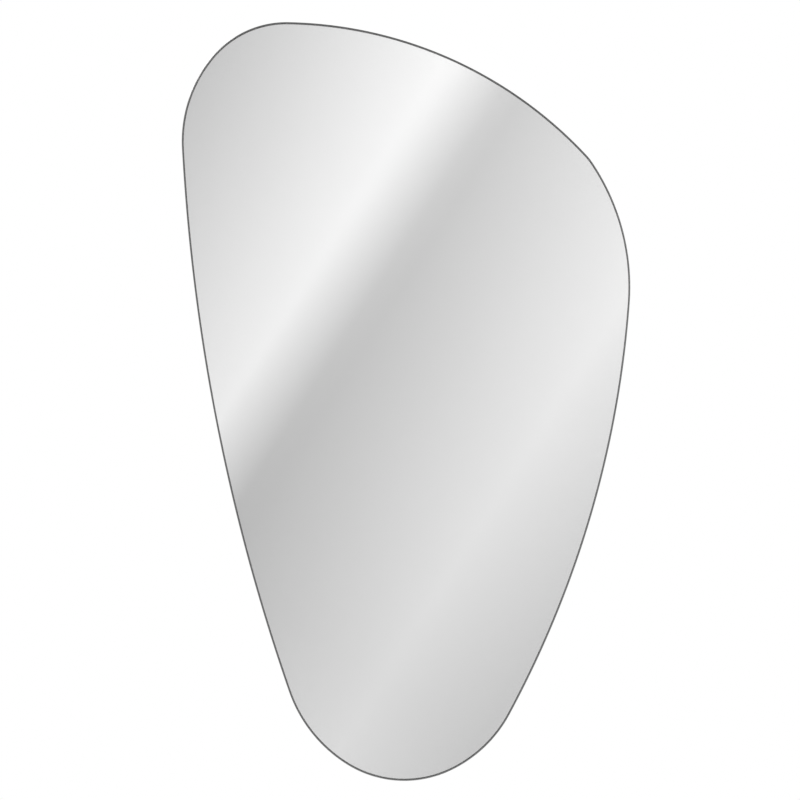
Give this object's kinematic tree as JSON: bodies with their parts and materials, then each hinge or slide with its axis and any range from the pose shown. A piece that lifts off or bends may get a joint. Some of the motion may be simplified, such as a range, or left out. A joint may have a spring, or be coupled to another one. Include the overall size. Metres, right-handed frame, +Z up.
{
  "type": "irregular wall mirror",
  "caption": "Frameless wall mirror with an irregular rounded outline, its polished-edge pane bonded to a smaller backing board with swinging ring hangers and rubber wall bumpers.",
  "frame": {"origin": "on the wall plane, midway between the two wall hooks, at the height where the swung-up hanger rings bear on them", "axes": "+Z up along the height; +Y from the glass to the wall, square to the pane; +X to the right as seen from the front"},
  "size_m": [0.5024, 0.022, 0.8499],
  "materials": {
    "polished_glass": "clear float glass with a polished round edge",
    "silvering": "bright silver, seen through the glass",
    "backing_paint": "satin grey protective paint",
    "safety_film": "pale woven plastic film",
    "foam_tape": "white closed-cell foam",
    "adhesive": "cured, slightly glossy",
    "fibreboard": "raw medium-density fibreboard with sealed edges",
    "bumper_rubber": "matte black",
    "zinc_plated_steel": "bright zinc plating"
  },
  "bodies": {
    "mirror_body": {"mirror_glass": "polished_glass", "silver_layer": "silvering", "backing_paint": "backing_paint", "safety_film": "safety_film", "foam_tape_left": "foam_tape", "foam_tape_middle": "foam_tape", "foam_tape_right": "foam_tape", "adhesive_bead_outer_left": "adhesive", "adhesive_bead_inner_left": "adhesive", "adhesive_bead_inner_right": "adhesive", "adhesive_bead_outer_right": "adhesive", "backing_board": "fibreboard", "bumper_upper_left": "bumper_rubber", "bumper_upper_right": "bumper_rubber", "bumper_lower_left": "bumper_rubber", "bumper_lower_right": "bumper_rubber", "hanger_strap_left": "zinc_plated_steel", "hanger_strap_right": "zinc_plated_steel", "strap_screw_left_upper": "zinc_plated_steel", "strap_screw_left_lower": "zinc_plated_steel", "strap_screw_right_upper": "zinc_plated_steel", "strap_screw_right_lower": "zinc_plated_steel"},
    "left_ring": {"hanger_ring_left": "zinc_plated_steel"},
    "right_ring": {"hanger_ring_right": "zinc_plated_steel"}
  },
  "joints": [
    {"name": "left_ring_swing", "type": "hinge", "parent": "mirror_body", "child": "left_ring", "pos_m": [-0.12, -0.00445, -0.01472], "axis": [-1, 0, 0], "range_deg": [0, 179]},
    {"name": "right_ring_swing", "type": "hinge", "parent": "mirror_body", "child": "right_ring", "pos_m": [0.12, -0.00445, -0.01472], "axis": [-1, 0, 0], "range_deg": [0, 179]}
  ]
}
